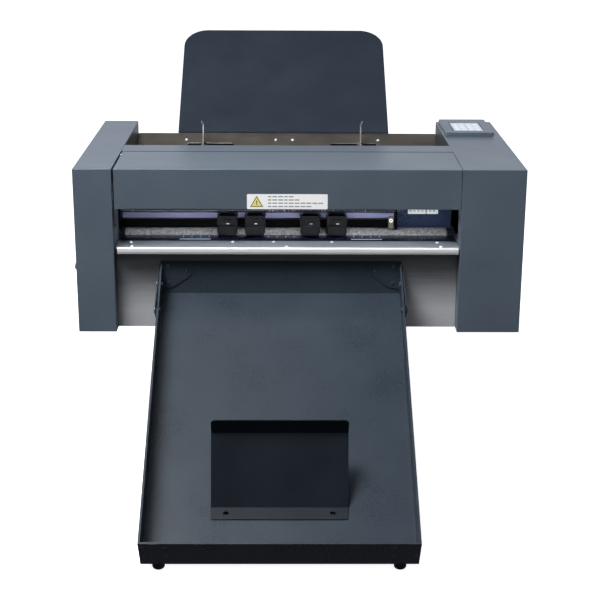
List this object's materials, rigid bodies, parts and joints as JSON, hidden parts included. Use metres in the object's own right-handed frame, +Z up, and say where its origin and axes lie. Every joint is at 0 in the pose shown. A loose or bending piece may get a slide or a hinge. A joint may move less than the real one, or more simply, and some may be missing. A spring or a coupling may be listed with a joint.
{
  "type": "desktop sheet-fed cutting plotter",
  "caption": "Low wide sheet-fed cutting plotter with end covers, hinged hood, steel drum, knife carriage, rear paper support and a sloping catch tray in front.",
  "frame": {"origin": "centre of the base pan's underside, at the middle of the four stand bolts", "axes": "+X to the right of someone facing the front, +Y to the back, +Z up"},
  "size_m": [0.683, 1.0328, 0.5952],
  "materials": {
    "cover_paint": "slate-grey fine textured powder coat",
    "tray_paint": "slate-grey fine textured powder coat",
    "support_paint": "dark slate powder coat",
    "rear_paint": "slate-grey powder coat",
    "zinc_steel": "zinc-plated sheet with a fine grain",
    "panel_steel": "stainless sheet brushed from side to side",
    "frame_paint": "dark satin powder coat",
    "tray_screw_steel": "blackened",
    "stainless_steel": "brushed stainless sheet",
    "platform_alloy": "satin anodised",
    "bright_alloy": "bright satin extrusion",
    "rail_alloy": "anodised extrusion",
    "strip_plastic": "glossy navy",
    "drum_steel": "sprayed grit",
    "polished_steel": "ground and plated",
    "black_metal": "satin black",
    "arm_plastic": "moulded black",
    "roller_rubber": "ground rubber",
    "throat_paint": "satin navy",
    "black_plastic": "moulded black",
    "carriage_plastic": "moulded dark grey",
    "tool_metal": "turned",
    "screw_steel": "plated",
    "motor_paint": "black with plain ends",
    "belt_rubber": "toothed belt",
    "feet_rubber": "moulded",
    "feed_rubber": "grey ground rubber",
    "screen_glass": "cover glass over a pale display",
    "board_green": "circuit board",
    "supply_steel": "perforated case"
  },
  "bodies": {
    "machine": {"base_pan": "zinc_steel", "beam_end_block": "bright_alloy", "carriage_rail": "rail_alloy", "control_board": "board_green", "cutting_strip": "strip_plastic", "drum_bearings": "black_plastic", "feed_ramp": "stainless_steel", "front_edge": "bright_alloy", "front_panel": "panel_steel", "hood_catch": "zinc_steel", "hood_pins": "polished_steel", "left_end_cover": "cover_paint", "left_frame_plate": "frame_paint", "machine_feet": "feet_rubber", "machine_screws": "screw_steel", "paper_support": "support_paint", "pinch_beam": "black_metal", "pinch_brackets": "black_metal", "pinch_rail": "bright_alloy", "platform": "platform_alloy", "power_inlet": "black_plastic", "power_supply": "supply_steel", "rail_brackets": "black_metal", "rear_panel": "rear_paint", "rear_top_strip": "cover_paint", "right_end_cover": "cover_paint", "right_frame_plate": "frame_paint", "stepper_motors": "motor_paint", "throat_panel": "throat_paint", "timing_belts": "belt_rubber", "touch_bezel": "black_plastic", "touch_glass": "screen_glass", "tray_hangers": "tray_paint"},
    "hood": {"hood_cover": "cover_paint"},
    "carriage": {"carriage": "carriage_plastic"},
    "tool": {"tool_holder": "tool_metal"},
    "idler": {"idler_pulley": "polished_steel"},
    "carriage_drive": {"carriage_pulley": "polished_steel"},
    "drum": {"drum": "drum_steel", "drum_pulleys": "polished_steel"},
    "drum_drive": {"motor_pulley": "polished_steel"},
    "feed": {"feed_shaft": "polished_steel", "feed_rollers": "feed_rubber"},
    "lift_rod": {"lift_rod": "polished_steel"},
    "left_guide": {"guide_left": "polished_steel"},
    "right_guide": {"guide_right": "polished_steel"},
    "tray": {"tray_pan": "tray_paint", "tray_screws": "tray_screw_steel", "tray_feet": "feet_rubber"},
    "stop": {"stop_plate": "tray_paint"},
    "side_button": {"side_button": "black_plastic"},
    "rocker": {"power_rocker": "black_plastic"},
    "pinch_arm_1": {"pinch_arm_1": "arm_plastic"},
    "pinch_roller_1": {"pinch_roller_1": "roller_rubber"},
    "pinch_arm_2": {"pinch_arm_2": "arm_plastic"},
    "pinch_roller_2": {"pinch_roller_2": "roller_rubber"},
    "pinch_arm_3": {"pinch_arm_3": "arm_plastic"},
    "pinch_roller_3": {"pinch_roller_3": "roller_rubber"},
    "pinch_arm_4": {"pinch_arm_4": "arm_plastic"},
    "pinch_roller_4": {"pinch_roller_4": "roller_rubber"}
  },
  "joints": [
    {"name": "hood_hinge", "type": "hinge", "parent": "machine", "child": "hood", "pos_m": [0, -0.075, 0.2515], "axis": [-1, 0, 0], "range_deg": [0, 95]},
    {"name": "carriage_slide", "type": "slide", "parent": "machine", "child": "carriage", "axis": [1, 0, 0], "range_m": [-0.515, 0]},
    {"name": "tool_lift", "type": "slide", "parent": "carriage", "child": "tool", "axis": [0, 0, -1], "range_m": [0, 0.0067], "stiffness_N_per_m": 300, "springref_m": -0.006},
    {"name": "idler_spin", "type": "hinge", "parent": "machine", "child": "idler", "pos_m": [-0.2616, -0.0815, 0.196], "axis": [0, 1, 0], "range_deg": [-3688.43, 0]},
    {"name": "carriage_motor_spin", "type": "hinge", "parent": "machine", "child": "carriage_drive", "pos_m": [0.3125, -0.0815, 0.196], "axis": [0, 1, 0], "range_deg": [-3688.43, 0]},
    {"name": "drum_spin", "type": "hinge", "parent": "machine", "child": "drum", "pos_m": [0, -0.1075, 0.1278], "axis": [1, 0, 0], "continuous": true},
    {"name": "drum_motor_spin", "type": "hinge", "parent": "machine", "child": "drum_drive", "pos_m": [-0.3235, -0.1075, 0.0578], "axis": [1, 0, 0], "continuous": true},
    {"name": "feed_spin", "type": "hinge", "parent": "machine", "child": "feed", "pos_m": [0, -0.0405, 0.1478], "axis": [1, 0, 0], "continuous": true},
    {"name": "lift_rod_turn", "type": "hinge", "parent": "machine", "child": "lift_rod", "pos_m": [0, -0.1205, 0.174], "axis": [-1, 0, 0], "range_deg": [0, 56]},
    {"name": "pinch_arm_1_lift", "type": "hinge", "parent": "machine", "child": "pinch_arm_1", "pos_m": [-0.1125, -0.1105, 0.163], "axis": [-1, 0, 0], "range_deg": [0, 14]},
    {"name": "pinch_roller_1_spin", "type": "hinge", "parent": "pinch_arm_1", "child": "pinch_roller_1", "pos_m": [-0.1125, -0.12221, 0.14251], "axis": [1, 0, 0], "continuous": true},
    {"name": "pinch_arm_2_lift", "type": "hinge", "parent": "machine", "child": "pinch_arm_2", "pos_m": [-0.069, -0.1105, 0.163], "axis": [-1, 0, 0], "range_deg": [0, 14]},
    {"name": "pinch_roller_2_spin", "type": "hinge", "parent": "pinch_arm_2", "child": "pinch_roller_2", "pos_m": [-0.069, -0.12221, 0.14251], "axis": [1, 0, 0], "continuous": true},
    {"name": "pinch_arm_3_lift", "type": "hinge", "parent": "machine", "child": "pinch_arm_3", "pos_m": [0.017, -0.1105, 0.163], "axis": [-1, 0, 0], "range_deg": [0, 14]},
    {"name": "pinch_roller_3_spin", "type": "hinge", "parent": "pinch_arm_3", "child": "pinch_roller_3", "pos_m": [0.017, -0.12221, 0.14251], "axis": [1, 0, 0], "continuous": true},
    {"name": "pinch_arm_4_lift", "type": "hinge", "parent": "machine", "child": "pinch_arm_4", "pos_m": [0.0585, -0.1105, 0.163], "axis": [-1, 0, 0], "range_deg": [0, 14]},
    {"name": "pinch_roller_4_spin", "type": "hinge", "parent": "pinch_arm_4", "child": "pinch_roller_4", "pos_m": [0.0585, -0.12221, 0.14251], "axis": [1, 0, 0], "continuous": true},
    {"name": "left_guide_slide", "type": "slide", "parent": "machine", "child": "left_guide", "axis": [1, 0, 0], "range_m": [-0.022, 0.046]},
    {"name": "right_guide_slide", "type": "slide", "parent": "machine", "child": "right_guide", "axis": [1, 0, 0], "range_m": [-0.046, 0.022]},
    {"name": "tray_tilt", "type": "hinge", "parent": "machine", "child": "tray", "pos_m": [-0.0284, -0.2055, 0.0785], "axis": [-1, 0, 0], "range_deg": [0, 6]},
    {"name": "stop_slide", "type": "slide", "parent": "tray", "child": "stop", "axis": [0, 0.8462, 0.5329], "range_m": [-0.055, 0.2]},
    {"name": "side_button_press", "type": "slide", "parent": "machine", "child": "side_button", "axis": [1, 0, 0], "range_m": [0, 0.0012], "stiffness_N_per_m": 400, "springref_m": -0.001},
    {"name": "power_rocker_tilt", "type": "hinge", "parent": "machine", "child": "rocker", "pos_m": [0.1836, 0.196, 0.064], "axis": [1, 0, 0], "range_deg": [0, 16]}
  ],
  "couplings": [
    {"joint": "idler_spin", "follows": "carriage_slide", "rad_per_m": 125},
    {"joint": "carriage_motor_spin", "follows": "carriage_slide", "rad_per_m": 125},
    {"joint": "drum_motor_spin", "follows": "drum_spin", "ratio": 1.75},
    {"joint": "feed_spin", "follows": "drum_spin", "ratio": 1.1667},
    {"joint": "pinch_arm_1_lift", "follows": "lift_rod_turn", "ratio": 0.25},
    {"joint": "pinch_roller_1_spin", "follows": "drum_spin", "ratio": -2.7273},
    {"joint": "pinch_arm_2_lift", "follows": "lift_rod_turn", "ratio": 0.25},
    {"joint": "pinch_roller_2_spin", "follows": "drum_spin", "ratio": -2.7273},
    {"joint": "pinch_arm_3_lift", "follows": "lift_rod_turn", "ratio": 0.25},
    {"joint": "pinch_roller_3_spin", "follows": "drum_spin", "ratio": -2.7273},
    {"joint": "pinch_arm_4_lift", "follows": "lift_rod_turn", "ratio": 0.25},
    {"joint": "pinch_roller_4_spin", "follows": "drum_spin", "ratio": -2.7273}
  ]
}
